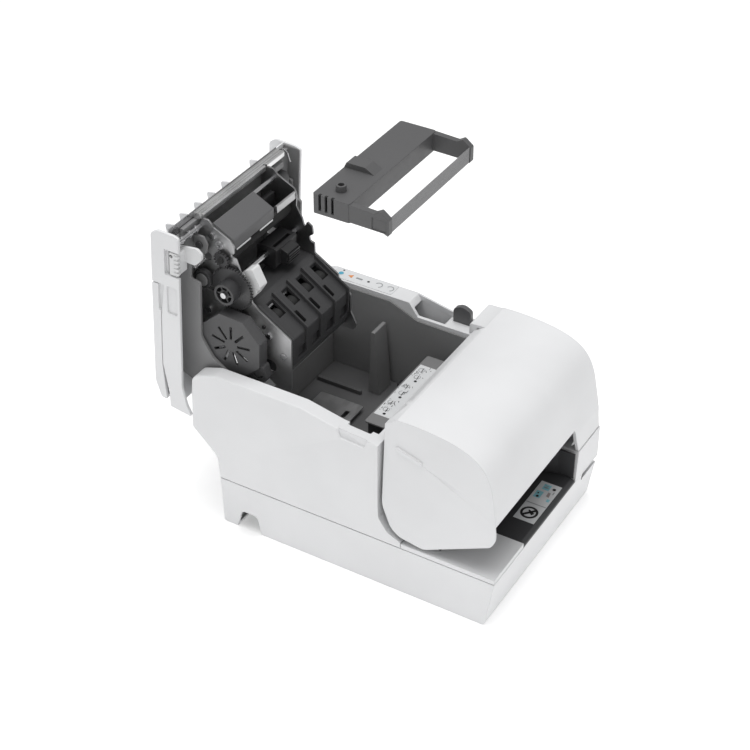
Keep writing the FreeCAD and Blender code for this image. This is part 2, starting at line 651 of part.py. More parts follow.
def disc_phase_towards(direction_deg):
    """How far round one tooth pitch the disc's nearest tooth stands from a direction."""
    pitch = 360.0 / DISC_TEETH
    return ((direction_deg - 67.5) % pitch) / pitch


PINION_PHASE = -99 + 180 + (0.5 - disc_phase_towards(-99)) * -360.0 / PINION_TEETH


def motor_parts():
    y, z = HOUSING_AT
    radius, inner = 29, 26.5
    ring = [(y + radius * math.cos(math.radians(22.5 + 45 * n)),
             z + radius * math.sin(math.radians(22.5 + 45 * n)), 2)
            for n in range(8)]
    housing = Solid("Housing").pad("x", [ring], -74.8, -64)
    housing.pad("x", [[(94, 156), (82, 158, 2), (78, 146, 3), (88, 136, 3), (106, 146)]], -72, -64)
    hollow = [(y + inner * math.cos(math.radians(22.5 + 45 * n)),
               z + inner * math.sin(math.radians(22.5 + 45 * n)))
              for n in range(8)]
    housing.pocket("x", [hollow], -73, -63)
    slots = []
    for n in range(9):
        angle = math.radians(90 + 40 * n)
        across = (-math.sin(angle), math.cos(angle))
        slots.append([(y + r * math.cos(angle) + s * across[0], z + r * math.sin(angle) + s * across[1],
                       0.5)
                      for r, s in ((6, -1.1), (18, -1.1), (18, 1.1), (6, 1.1))])
    housing.pocket("x", slots, -76, -72)
    for n in range(2):
        y0, z0 = 82 + 4 * n, 149 - 5 * n
        chevron = [(y0, z0), (y0 + 5, z0 - 3), (y0 + 9, z0), (y0 + 9, z0 - 1.8), (y0 + 5, z0 - 4.8),
                   (y0, z0 - 1.8)]
        housing.pocket("x", [chevron], -73, -70)
    housing.done("motor_housing", LEANT)
    rod("Motor", -72.4, -63.4, *PINION_AT, 5.4, 1.3).done("feed_motor", LEANT)


PINCH_STATIONS = (-46, -25, -4, 17)


def rib_frame():
    side = [(97, 198.5, 1), (66, 179.6, 3), (66, 153, 2), (70, 143, 4), (100, 147), (124, 152), (124, 200),
            (104, 200)]
    frame = Solid("RibFrame").pad("x", [side], INNER_LEFT, INNER_RIGHT)
    hollow = [(104, 196.6), (97.5, 195), (69, 177.6), (69, 154), (72, 146.5), (100, 150.3), (126, 155),
              (126, 196.6)]
    frame.pocket("x", [hollow], INNER_LEFT + 3, INNER_RIGHT - 3)
    for x in PINCH_STATIONS:
        frame.pocket("z", [rect(x - 1, 83, x + 8, 96)], 176, 204)
    pockets = [rect(x + 10, 70, x + 18, 80, 1) for x in PINCH_STATIONS[:3]]
    frame.pocket("z", pockets, 170, 195)
    windows = [rect(x, 157, x + 10, 167, 1) for x in PINCH_STATIONS]
    frame.pocket("y", windows, 60, 68)
    fin = [(98, 199.1), (98, 203, 1), (64.4, 182.6, 2), (64.4, 160), (66, 160), (66, 179.6)]
    for x in (-56.9, -36.4, -15.4, 5.6, 26.4):
        frame.pad("x", [fin], x, x + 1.6)
    frame.pocket("x", [circle_at(*PINCH_AT, 1.55)], INNER_LEFT - 1, INNER_RIGHT + 1)
    frame.done("slip_guide_frame", LEANT)


def pinch_rollers():
    rollers = rod("PinchShaft", PLATE_LEFT - 2.6, PLATE_RIGHT + 2.6, *PINCH_AT, 1.5)
    for x in PINCH_STATIONS:
        rollers.pad("x", [circle_at(*PINCH_AT, 6)], x, x + 7)
    rollers.done("pinch_rollers", LEANT)


def carriage():
    y, z = GUIDE_AT
    rod("GuideShaft", INNER_LEFT, INNER_RIGHT, y, z, 2.5).done("carriage_shaft", LEANT)
    body = Solid("Carriage").pad("x", [[(110, 206, 2), (110, 224, 2), (128, 224, 2), (128, 206, 2)]], -12,
                                 18)
    body.pad("x", [[(102, 209, 2), (102, 219, 2), (112, 222), (112, 207)]], -5, 11)
    body.pocket("x", [circle_at(y, z, 2.55)], -13, 19)
    body.pocket("z", [rect(-9, 113, 14, 116)], 220, 226)
    for n in range(4):
        body.pocket("x", [rect(101, 211 + 2.4 * n, 104, 212 + 2.4 * n)], -6, 12)
    body.done("print_carriage", LEANT)
    rail = Solid("Rail").pad("x", [[(124.2, 200.2), (124.2, 204.5), (150, 204.5), (150, 201.5),
                                    (133, 201.5), (133, 200.2)]],
                             INNER_LEFT, INNER_RIGHT)
    rail.done("carriage_rail", LEANT)


def white_clip():
    clip = [(109.4, 230, 1), (103, 233.5, 1.5), (95, 219, 2), (101, 208, 1.5), (105, 208), (110, 218)]
    body = Solid("Clip").pad("x", [clip], INNER_LEFT, -47)
    body.pocket("x", [[(94, 212), (99, 213), (100, 217), (95, 217)]], -58, -52)
    body.done("ribbon_clip", LEANT)


def unit_screws():
    screws = []
    boss = [circle_at(131.2, 247.2, 3.6), circle_at(131.2, 247.2, 1.6)]
    screws.append(Solid("Boss").pad("x", boss, PLATE_LEFT - 3.4, PLATE_LEFT - 1.6).body)
    for y, z in ((138.1, 252.6), (85.9, 178.5), (71.2, 164.4), (142, 182)):
        screws.append(Solid("Screw").pad("x", [circle_at(y, z, 3)], PLATE_LEFT - 2.9,
                                         PLATE_LEFT - 1.6).body)
    for y, z in ((131, 250), (88, 176), (70, 160)):
        screws.append(Solid("Screw").pad("x", [circle_at(y, z, 3)], PLATE_RIGHT + 1.6,
                                         PLATE_RIGHT + 3.4).body)
    grouped("plate_screws", screws, LEANT)


# ---------------------------------------------------------------- ribbon cassette, held above its seat

CASSETTE_LEFT = -60
CASSETTE_RIGHT = 68
CASSETTE_FRONT = -26
CASSETTE_REAR = 38


def ribbon_cassette():
    low = dim("cassette_base")
    high = low + " + " + dim("cassette_height")
    z0 = DIMENSIONS["cassette_base"]
    z1 = z0 + DIMENSIONS["cassette_height"]
    box = Solid("Cassette").pad("z", [rect(CASSETTE_LEFT, 6.5, CASSETTE_RIGHT, CASSETTE_REAR, 2)], low,
                                high)
    for x0 in (CASSETTE_LEFT, CASSETTE_RIGHT - 5):
        arm = [(7, z0 + 1), (7, z1 - 0.5), (-14, z1 - 1.5, 2), (-19, z1 + 1.5, 1.5), (-26, z1 - 4, 2),
               (-26, z0 - 1.5, 1),
               (-22, z0 + 0.5, 1)]
        box.pad("x", [arm], x0, x0 + 5)
    wedge = [(12, z1), (20, z1 + 4.5, 1), (36, z1 + 4.5, 1), (38, z1)]
    box.pad("x", [wedge], -16, -4)
    box.pocket("z", [rect(CASSETTE_LEFT + 2, 9, CASSETTE_RIGHT - 2, 36, 1)], z0 + 2, z1 - 2)
    slits = [rect(20 + 5.4 * n, z0 + 3, 22.2 + 5.4 * n, z1 + 1) for n in range(3)]
    box.pocket("x", slits, CASSETTE_LEFT - 1, CASSETTE_LEFT + 2.5)
    box.pocket("z", [circle_at(-46, 22, 4.05)], z1 - 3, z1 + 1)
    box.pocket("x", [rect(-24, z0 + 1.2, -12, z1 - 5)], CASSETTE_LEFT - 1, CASSETTE_LEFT + 0.6)
    box.done("ribbon_cassette")
    knob = Solid("Knob").pad("z", [circle_at(-46, 22, 4)], z1 - 5.5, z1 + 5)
    knob.pad("z", [circle_at(-46, 22, 7)], z1 - 8, z1 - 2.3)
    knob.pocket("z", [circle_at(-46, 22, 2.4)], z1 - 1, z1 + 6)
    knob.done("ribbon_knob")
    ribbon = Solid("Ribbon").pad("y", [rect(CASSETTE_LEFT + 5.1, z0 - 0.5, CASSETTE_RIGHT - 5.1,
                                            z0 + 12.5)], -25.2, -24.9)
    ribbon.done("ink_ribbon")


BUILDERS = (base_tray, rubber_feet, main_case, front_deck, slip_table, right_column, guide_wall,
            slip_frame, slip_rollers,
            front_cover, bay_floor, bay_liners, slip_path, cassette_posts, guide_post, bay_plate,
            rim_parts, hinge_pins,
            base_inside, power_rocker, unit_case, unit_frame, roll_cover, latch_lever, side_plates,
            exit_parts,
            head_cover, thermal_head, platen, disc_and_pinion, motor_parts, rib_frame, pinch_rollers,
            carriage,
            white_clip, unit_screws, ribbon_cassette)

for build in BUILDERS:
    build()
doc.recompute()

os.makedirs("parts", exist_ok=True)
for item in doc.Objects:
    if "Invalid" in item.State or "Error" in item.State:
        raise RuntimeError("%s did not build: %s" % (item.Label, item.State))
for node in nodes:
    if node.Shape.isNull() or not node.Shape.isValid():
        raise RuntimeError(node.Label + " has no valid shape")
    node.Shape.exportStep("parts/%s.step" % node.Label)
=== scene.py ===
import math
import random

import bmesh
import bpy
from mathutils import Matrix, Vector
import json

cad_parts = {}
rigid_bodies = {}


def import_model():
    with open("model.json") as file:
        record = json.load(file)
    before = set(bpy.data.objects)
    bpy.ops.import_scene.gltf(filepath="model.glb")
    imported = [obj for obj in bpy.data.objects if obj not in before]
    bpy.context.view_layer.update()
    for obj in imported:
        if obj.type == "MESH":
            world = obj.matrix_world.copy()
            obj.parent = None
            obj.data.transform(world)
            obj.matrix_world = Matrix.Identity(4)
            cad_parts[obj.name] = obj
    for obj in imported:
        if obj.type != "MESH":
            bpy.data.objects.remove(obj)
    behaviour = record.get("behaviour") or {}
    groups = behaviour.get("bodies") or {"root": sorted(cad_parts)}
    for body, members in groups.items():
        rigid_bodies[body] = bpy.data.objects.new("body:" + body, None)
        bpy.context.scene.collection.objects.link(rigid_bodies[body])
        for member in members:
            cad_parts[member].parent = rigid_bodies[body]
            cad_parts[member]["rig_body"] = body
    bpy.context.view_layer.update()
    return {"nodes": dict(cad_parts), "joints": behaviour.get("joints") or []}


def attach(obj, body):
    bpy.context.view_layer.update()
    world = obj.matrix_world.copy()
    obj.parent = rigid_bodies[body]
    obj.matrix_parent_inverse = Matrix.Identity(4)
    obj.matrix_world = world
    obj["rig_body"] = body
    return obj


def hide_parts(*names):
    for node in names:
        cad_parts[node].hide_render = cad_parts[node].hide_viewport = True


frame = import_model()
nodes = frame["nodes"]

MM = 0.001
LEAN = math.radians(3.0)              # the open unit's lean past upright

# Which edges of the CAD shells are rounded: limits of place, then how square a face must stand.
OUTER_WALL = 92 * MM                  # beyond it: the case's and the unit's side walls
CASE_RIM_Z = 120 * MM
UNIT_LOW_Z, UNIT_BACK_Y = 110 * MM, 150 * MM
LID_RIGHT_X, LID_BACK_Y = 73 * MM, 163 * MM
COVER_WALL = 84 * MM                  # beyond it: the front cover's side walls
COVER_LEFT_Z, COVER_LEFT_Y = 84 * MM, -41 * MM
COVER_RIGHT_Z, COVER_RIGHT_Y = 100.5 * MM, -49.6 * MM
SIDE_FACING, ACROSS_FACING, SQUARE_FACING = 0.85, 0.5, 0.9999

# Mesh work.
MERGE_DISTANCE = 1e-6
FLAT_ANGLE = math.radians(0.6)
SHELL_SMOOTH = math.radians(32)
PIECE_SMOOTH = math.radians(35)
WIRE_STEPS = 16                       # points in one turn of a spring

# Materials: depth of the fine relief and radius of rounded edges (m), strength of the relief.
PLASTIC_RELIEF, METAL_RELIEF, THREAD_RELIEF = 0.00006, 0.00004, 0.0001
METAL_ROUND, THREAD_ROUND = 0.0003, 0.0001
METAL_GRAIN, THREAD_GRAIN = 0.2, 0.4
CORNER_SAMPLES = 6
# Colour of the painted shade that ambient occlusion lays into the corners and creases of the
# plastics.
PAINTED_CORNER_SHADE = (0.72, 0.71, 0.69, 1)
WHITE_LIGHT = (1, 1, 1, 1)

# Heights of the labels and their ink, and places in the standing unit (mm).
STICKER_Z, STICKER_INK_Z = 48.65, 48.82
STRIP_Z, STRIP_INK_Z = 114.45, 114.68
STROKES_PER_PICTURE, BLACK_SHARE = 16, 0.55
RIM_INK_Z = 148.55
RIM_X = 84
RECESS_Z = 36.7
LIP_Y = 118.8
PLATE_X = -58.6                       # where the left plate's stubs end
FRAME_Y = 152.3                       # face of the inner frame
RELEASE_PIVOT = (145, 245.6)
IDLER_AXIS = (143, 214)

# Studio.
FLOOR_HALF = 6
FLOOR_GLOW = 0.3
SKY_STRENGTH = 0.42
LENS_MM, SENSOR_MM = 85.2, 36
NEAR_LIMIT, FAR_LIMIT = 0.05, 50
CAMERA_PLACE = (-0.99196, -0.56710, 0.97547)
CAMERA_AIM = (0.145976, 0.107373, 0)
LIGHTS = (                            # name, place, target, size in metres, power in watts
    ("key", (-0.1, 0.1, 1.9), (0, 0, 0.1), 1.5, 25),
    ("left_fill", (-1.8, -0.4, 0.9), (0, 0, 0.12), 1.2, 1.4),
    ("front_fill", (0.6, -1.8, 1.0), (0, 0, 0.1), 1.2, 2.4),
)

joint_places = {j["name"]: Vector(j["pos_m"]) for j in frame["joints"] if "pos_m" in j}
UNIT_HINGE = joint_places["unit_hinge"]


# ---------------------------------------------------------------- materials

def new_material(name):
    material = bpy.data.materials.new(name)
    material.use_nodes = True
    tree = material.node_tree
    return material, tree, tree.nodes["Principled BSDF"]


def add(tree, kind, **inputs):
    """A shader node with its named sockets set."""
    node = tree.nodes.new(kind)
    for socket, value in inputs.items():
        node.inputs[socket.replace("_", " ")].default_value = value
    return node


def object_coordinates(tree, stretch=(1, 1, 1)):
    coordinates = tree.nodes.new("ShaderNodeTexCoord")
    mapping = tree.nodes.new("ShaderNodeMapping")
    mapping.inputs["Scale"].default_value = stretch
    tree.links.new(coordinates.outputs["Object"], mapping.inputs["Vector"])
    return mapping.outputs["Vector"]


def ramp(tree, source, low, high, start=0.3, end=0.7):
    """A colour ramp between two greys or colours."""
    node = tree.nodes.new("ShaderNodeValToRGB")
    node.color_ramp.elements[0].position = start
    node.color_ramp.elements[1].position = end
    node.color_ramp.elements[0].color = low
    node.color_ramp.elements[1].color = high
    tree.links.new(source, node.inputs["Fac"])
    return node.outputs["Color"]


def surface(tree, shader, height, strength, distance, round_radius):
    """Rounds every edge a little and adds a fine relief."""
    rounded = add(tree, "ShaderNodeBevel", Radius=round_radius)
    rounded.samples = CORNER_SAMPLES
    bump = add(tree, "ShaderNodeBump", Strength=strength, Distance=distance)
    tree.links.new(height, bump.inputs["Height"])
    tree.links.new(rounded.outputs["Normal"], bump.inputs["Normal"])
    tree.links.new(bump.outputs["Normal"], shader.inputs["Normal"])


def shade(colour, factor):
    return tuple(min(1, channel * factor) for channel in colour) + (1,)


def grey(level):
    return (level, level, level, 1)


def plastic(name, colour, roughness, grain, grain_size=2600, coat=0.0, round_radius=0.0007):
    """Moulded plastic: fine grain, slow colour drift, uneven gloss and painted shade darkening the
    corners.
    """
    material, tree, shader = new_material(name)
    place = object_coordinates(tree)
    drift = add(tree, "ShaderNodeTexNoise", Scale=14.0, Detail=3.0)
    grain_noise = add(tree, "ShaderNodeTexNoise", Scale=float(grain_size), Detail=2.0)
    smudge = add(tree, "ShaderNodeTexNoise", Scale=60.0, Detail=5.0, Roughness=0.6)
    for noise in (drift, grain_noise, smudge):
        tree.links.new(place, noise.inputs["Vector"])
    body = ramp(tree, drift.outputs["Fac"], shade(colour, 0.965), shade(colour, 1.02))
    # Painted shade: ambient occlusion darkens the base colour in corners and creases.
    corner = add(tree, "ShaderNodeAmbientOcclusion", Distance=0.006)
    corner.samples = CORNER_SAMPLES
    corner_shade_mix = tree.nodes.new("ShaderNodeMix")
    corner_shade_mix.data_type = "RGBA"
    corner_shade_mix.blend_type = "MULTIPLY"
    corner_shade_mix.inputs["Factor"].default_value = 0.35
    shadow = ramp(tree, corner.outputs["AO"], PAINTED_CORNER_SHADE, WHITE_LIGHT, 0.1, 0.8)
    tree.links.new(body, corner_shade_mix.inputs["A"])
    tree.links.new(shadow, corner_shade_mix.inputs["B"])
    tree.links.new(corner_shade_mix.outputs["Result"], shader.inputs["Base Color"])
    gloss = ramp(tree, smudge.outputs["Fac"], grey(roughness * 0.88), grey(roughness * 1.12))
    tree.links.new(gloss, shader.inputs["Roughness"])
    shader.inputs["Specular IOR Level"].default_value = 0.45
    shader.inputs["Coat Weight"].default_value = coat
    surface(tree, shader, grain_noise.outputs["Fac"], grain, PLASTIC_RELIEF, round_radius)
    return material


def ink(name, colour):
    return plastic(name, colour, roughness=0.3, grain=0.02, round_radius=0.00005)


def metal(name, colour, roughness, brushed):
    """Rolled or turned metal with fine drawn lines and a few duller patches."""
    material, tree, shader = new_material(name)
    lines = add(tree, "ShaderNodeTexNoise", Scale=400.0, Detail=4.0, Roughness=0.7)
    patches = add(tree, "ShaderNodeTexNoise", Scale=40.0, Detail=3.0)
    tree.links.new(object_coordinates(tree, brushed), lines.inputs["Vector"])
    tree.links.new(object_coordinates(tree), patches.inputs["Vector"])
    tree.links.new(ramp(tree, patches.outputs["Fac"], shade(colour, 0.86), shade(colour, 1.08)),
                   shader.inputs["Base Color"])
    gloss = ramp(tree, lines.outputs["Fac"], grey(roughness * 0.75), grey(roughness * 1.3))
    tree.links.new(gloss, shader.inputs["Roughness"])
    shader.inputs["Metallic"].default_value = 1.0
    surface(tree, shader, lines.outputs["Fac"], METAL_GRAIN, METAL_RELIEF, METAL_ROUND)
    return material


def woven(name, colour):
    """Inked woven ribbon: two crossed thread waves."""
    material, tree, shader = new_material(name)
    place = object_coordinates(tree)
    threads = []
    for direction in ("X", "Z"):
        wave = add(tree, "ShaderNodeTexWave", Scale=1400.0, Distortion=0.4)
        wave.bands_direction = direction
        tree.links.new(place, wave.inputs["Vector"])
        threads.append(wave.outputs["Fac"])
    weave = tree.nodes.new("ShaderNodeMath")
    weave.operation = "MULTIPLY"
    tree.links.new(threads[0], weave.inputs[0])
    tree.links.new(threads[1], weave.inputs[1])
    tree.links.new(ramp(tree, weave.outputs["Value"], shade(colour, 0.8), shade(colour, 1.2)),
                   shader.inputs["Base Color"])
    shader.inputs["Roughness"].default_value = 0.75
    shader.inputs["Sheen Weight"].default_value = 0.3
    surface(tree, shader, weave.outputs["Value"], THREAD_GRAIN, THREAD_RELIEF, THREAD_ROUND)
    return material


WHITE = plastic("white_case_plastic", (0.80, 0.805, 0.815), roughness=0.42, grain=0.18, coat=0.05)
WHITE_SATIN = plastic("white_small_parts", (0.74, 0.745, 0.75), roughness=0.35, grain=0.1)
DARK = plastic("dark_frame_plastic", (0.052, 0.052, 0.054), roughness=0.38, grain=0.35)
DARKER = plastic("black_mechanism_plastic", (0.018, 0.018, 0.019), roughness=0.42, grain=0.3)
MID = plastic("mid_grey_plastic", (0.22, 0.22, 0.222), roughness=0.42, grain=0.3)
LINER = plastic("bay_wall_plastic", (0.27, 0.27, 0.273), roughness=0.45, grain=0.3)
BAY = plastic("bay_floor_plastic", (0.13, 0.13, 0.132), roughness=0.45, grain=0.3)
POST = plastic("guide_post_plastic", (0.24, 0.24, 0.242), roughness=0.42, grain=0.3)
FLANGE = plastic("inner_frame_plastic", (0.25, 0.25, 0.253), roughness=0.4, grain=0.3)
HOUSING = plastic("motor_cover_plastic", (0.075, 0.075, 0.077), roughness=0.36, grain=0.3)
COVER_GREY = plastic("head_cover_plastic", (0.115, 0.115, 0.118), roughness=0.4, grain=0.25)
CASSETTE = plastic("cassette_plastic", (0.095, 0.095, 0.097), roughness=0.45, grain=0.4,
                   round_radius=0.0005)
GEAR = plastic("gear_plastic", (0.05, 0.05, 0.052), roughness=0.3, grain=0.1, round_radius=0.0002)
RUBBER = plastic("roller_rubber", (0.022, 0.022, 0.022), roughness=0.75, grain=0.6, grain_size=1800)
TABLE = plastic("slip_table_plastic", (0.055, 0.055, 0.058), roughness=0.36, grain=0.25)
FILM = plastic("label_film", (0.78, 0.79, 0.80), roughness=0.22, grain=0.02, coat=0.4,
               round_radius=0.0001)
INK_BLACK = ink("label_ink_black", (0.02, 0.02, 0.02))
INK_PALE = ink("label_ink_pale_cyan", (0.30, 0.62, 0.70))
INK_CYAN = ink("label_ink_cyan", (0.10, 0.42, 0.58))
INK_ORANGE = ink("label_ink_orange", (0.80, 0.30, 0.10))
INK_BROWN = ink("label_ink_brown", (0.36, 0.30, 0.29))
INK_GREY = ink("label_ink_grey", (0.32, 0.33, 0.34))
BOARD = plastic("solder_mask", (0.02, 0.13, 0.06), roughness=0.3, grain=0.3, coat=0.3)
STEEL = metal("sheet_steel", (0.30, 0.30, 0.305), 0.4, (0.2, 1, 8))
# Painted light: a lighter copy of the same sheet steel, so the left plate (also the bay plate and
# ground tab) reads brighter than the right plate.
STEEL_PAINTED_LIGHTER = metal("sheet_steel_painted_lighter", (0.52, 0.52, 0.525), 0.42, (0.2, 1, 8))
BRIGHT = metal("bright_steel", (0.62, 0.62, 0.63), 0.22, (0.1, 6, 6))
SILVER = metal("exit_bar_metal", (0.78, 0.78, 0.78), 0.3, (0.05, 6, 6))
RIBBON = woven("ribbon_weave", (0.22, 0.22, 0.225))

FINISHES = {node: finish for finish, names in (
    (WHITE, "base_tray main_case front_deck right_column front_cover unit_case roll_cover"),
    (WHITE_SATIN, "latch_lever ribbon_clip"),
    (TABLE, "slip_table slip_guide_wall"),
    (DARK, "slip_frame slip_path_block cassette_posts slip_guide_frame"),
    (BAY, "bay_floor"),
    (LINER, "bay_liners"),
    (POST, "guide_post"),
    (MID, "slip_path_plate"),
    # Parts in the lighter, painted-light copy of the sheet steel.
    (STEEL_PAINTED_LIGHTER, "bay_plate left_plate ground_tab"),
    (STEEL, "latch_striker power_supply right_plate carriage_rail"),
    (COVER_GREY, "cover_catch head_cover"),
    (FILM, "indicator_film"),
    (BRIGHT, "hinge_pins lid_hinge_rod fixed_pins tear_blade tie_rod paper_hook "
             "head_springs feed_motor carriage_shaft plate_screws"),
    (BOARD, "circuit_board"),
    (DARKER, "board_chips rear_jacks power_rocker head_lip thermal_head print_carriage"),
    (RUBBER, "rubber_feet slip_feed_roller platen_roller pinch_rollers"),
    (FLANGE, "unit_frame"),
    (SILVER, "exit_bar"),
    (HOUSING, "motor_housing"),
    (GEAR, "platen_gear drive_disc motor_pinion"),
    (CASSETTE, "ribbon_cassette ribbon_knob"),
    (RIBBON, "ink_ribbon"),
) for node in names.split()}
for node_name, node in nodes.items():
    node.data.materials.clear()
    node.data.materials.append(FINISHES[node_name])


# ---------------------------------------------------------------- rounded shells

def rounded_shell(name, radius, wanted, segments=5):
    """A copy of a case shell with its outer edges rounded, standing for the square-edged solid."""
    source = nodes[name]
    mesh = source.data.copy()
    mesh.name = name + "_rounded"
    work = bmesh.new()
    work.from_mesh(mesh)
    bmesh.ops.remove_doubles(work, verts=work.verts, dist=MERGE_DISTANCE)
    bmesh.ops.dissolve_limit(work, angle_limit=FLAT_ANGLE, verts=work.verts, edges=work.edges)
    work.normal_update()
    weights = work.edges.layers.float.new("bevel_weight_edge")
    for edge in work.edges:
        if len(edge.link_faces) != 2:
            continue
        first, second = edge.link_faces[0].normal, edge.link_faces[1].normal
        middle = (edge.verts[0].co + edge.verts[1].co) / 2
        if edge.is_convex and wanted(first, second, middle):
            edge[weights] = 1.0
    for face in work.faces:
        face.smooth = True
    work.to_mesh(mesh)
    work.free()
    piece = bpy.data.objects.new(name + "_shell", mesh)
    bpy.context.scene.collection.objects.link(piece)
    bevel = piece.modifiers.new("rounding", "BEVEL")
    bevel.limit_method = "WEIGHT"
    bevel.width = radius
    bevel.segments = segments
    mesh.set_sharp_from_angle(angle=SHELL_SMOOTH)
    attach(piece, source["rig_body"])
    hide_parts(name)


def side_edge(first, second):
    """True where a side wall meets a face that runs across the object."""
    first_flat, second_flat = abs(first.x) > SIDE_FACING, abs(second.x) > SIDE_FACING
    return first_flat != second_flat and min(abs(first.x), abs(second.x)) < ACROSS_FACING


def cover_rim(first, second, middle):
    """The cover's side rims, all along the left, and over the crown on the right."""
    if not side_edge(first, second) or max(abs(first.x), abs(second.x)) > SQUARE_FACING:
        return False
    if middle.x < -COVER_WALL:
        return middle.z > COVER_LEFT_Z and middle.y < COVER_LEFT_Y
    return middle.x > COVER_WALL and middle.z > COVER_RIGHT_Z and middle.y < COVER_RIGHT_Y


def case_rim(first, second, middle):
    return side_edge(first, second) and abs(middle.x) > OUTER_WALL and middle.z > CASE_RIM_Z


def unit_rim(first, second, middle):
    return (side_edge(first, second) and middle.x < -OUTER_WALL and middle.z > UNIT_LOW_Z
            and middle.y > UNIT_BACK_Y)


def lid_rim(first, second, middle):
    return (side_edge(first, second) and (middle.x < -OUTER_WALL or middle.x > LID_RIGHT_X)
            and middle.y > LID_BACK_Y)


rounded_shell("front_cover", 4.2 * MM, cover_rim)
rounded_shell("main_case", 1.6 * MM, case_rim, 3)
rounded_shell("unit_case", 3.0 * MM, unit_rim)
rounded_shell("roll_cover", 3.0 * MM, lid_rim)


# ---------------------------------------------------------------- small helpers for pieces

def link(name, mesh, material, body):
    """A finished piece, riding on a body."""
    mesh.materials.append(material)
    for polygon in mesh.polygons:
        polygon.use_smooth = True
    mesh.set_sharp_from_angle(angle=PIECE_SMOOTH)
    piece = bpy.data.objects.new(name, mesh)
    bpy.context.scene.collection.objects.link(piece)
    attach(piece, body)


def standing(y, z):
    """A place in the open unit, from where it lies when the unit stands upright (mm)."""
    dy, dz = y * MM - UNIT_HINGE.y, z * MM - UNIT_HINGE.z
    return Vector((0, UNIT_HINGE.y + dy * math.cos(LEAN) - dz * math.sin(LEAN),
                   UNIT_HINGE.z + dy * math.sin(LEAN) + dz * math.cos(LEAN)))


def slabs(name, outlines, thickness, place, material, body, bevel=0):
    """Flat outlines (in their own u, v plane, mm) given one thickness, as one piece.

    place turns (u, v, height) in mm into a point of the frame in metres.
    """
    work = bmesh.new()
    for outline in outlines:
        work.faces.new([work.verts.new(place(u, v, 0)) for u, v in outline])
    lifted = bmesh.ops.extrude_face_region(work, geom=list(work.faces))
    shift = place(0, 0, thickness) - place(0, 0, 0)
    moved = [item for item in lifted["geom"] if isinstance(item, bmesh.types.BMVert)]
    bmesh.ops.translate(work, verts=moved, vec=shift)
    bmesh.ops.recalc_face_normals(work, faces=work.faces)
    if bevel:
        bmesh.ops.bevel(work, geom=list(work.edges), offset=bevel * MM, segments=2, affect="EDGES",
                        clamp_overlap=True)
    mesh = bpy.data.meshes.new(name)
    work.to_mesh(mesh)
    work.free()
    link(name, mesh, material, body)


def slab(name, outline, thickness, place, material, body, bevel=0.1):
    """One flat outline given a thickness and bevelled rims."""
    slabs(name, [outline], thickness, place, material, body, bevel)


def upright(height_mm):
    """Places a flat outline (x, y) on a level surface."""
    return lambda u, v, h: Vector((u * MM, v * MM, (height_mm + h) * MM))


def stroke_points(u, v, radius, angles):
    return [(u + radius * math.cos(a), v + radius * math.sin(a)) for a in angles]


def circle(u, v, radius, count=28):
    return stroke_points(u, v, radius, [2 * math.pi * n / count for n in range(count)])


def arc_band(u, v, radius, width, start_deg, end_deg, count):
    """A curved stroke."""
    angles = [math.radians(start_deg + (end_deg - start_deg) * n / count) for n in range(count + 1)]
    outer = stroke_points(u, v, radius + width / 2, angles)
    inner = stroke_points(u, v, radius - width / 2, reversed(angles))
    return outer + inner


def rectangle(u0, v0, u1, v1):
    return [(u0, v0), (u1, v0), (u1, v1), (u0, v1)]


# ---------------------------------------------------------------- labels

def slip_label():
    """Sticker on the slip table: a no-entry ring, and a small picture of the slip going in."""
    slab("slip_sticker", rectangle(-18, -135.4, 34, -117), 0.15, upright(STICKER_Z), FILM,
         "case", 0.05)
    over = upright(STICKER_INK_Z)
    black = [
        arc_band(-7, -126, 6.3, 2.0, 0, 359.5, 40),
        [(-11.8, -123.2), (-10.2, -121.6), (-2.2, -128.8), (-3.8, -130.4)],
        [(-9.4, -128.8), (-6.6, -130.4), (-3.6, -124.6), (-4.6, -124)],
        circle(28.1, -131, 1.5, 18), circle(14.6, -122.4, 1.3, 16), circle(18.6, -121.4, 0.8, 12),
    ]
    dull = [
        rectangle(4.2, -135, 5.0, -117.6), rectangle(26.6, -126.4, 28, -122.4),
        rectangle(29, -126, 29.8, -123), rectangle(21.6, -133, 25, -132.2),
    ]
    cyan = [
        rectangle(24.4, -127.4, 31.4, -121.4), rectangle(12.6, -125, 21.4, -119.2),
        rectangle(11.6, -133.8, 15, -131.2),
    ]
    brown = [[(17, -131.4), (22.6, -130.6), (23, -128.4), (17.6, -128.6)]]
    slabs("slip_sticker_black", black, 0.08, over, INK_BLACK, "case")
    slabs("slip_sticker_grey", dull, 0.1, over, INK_GREY, "case")
    slabs("slip_sticker_cyan", cyan, 0.06, over, INK_PALE, "case")
    slabs("slip_sticker_brown", brown, 0.06, over, INK_BROWN, "case")


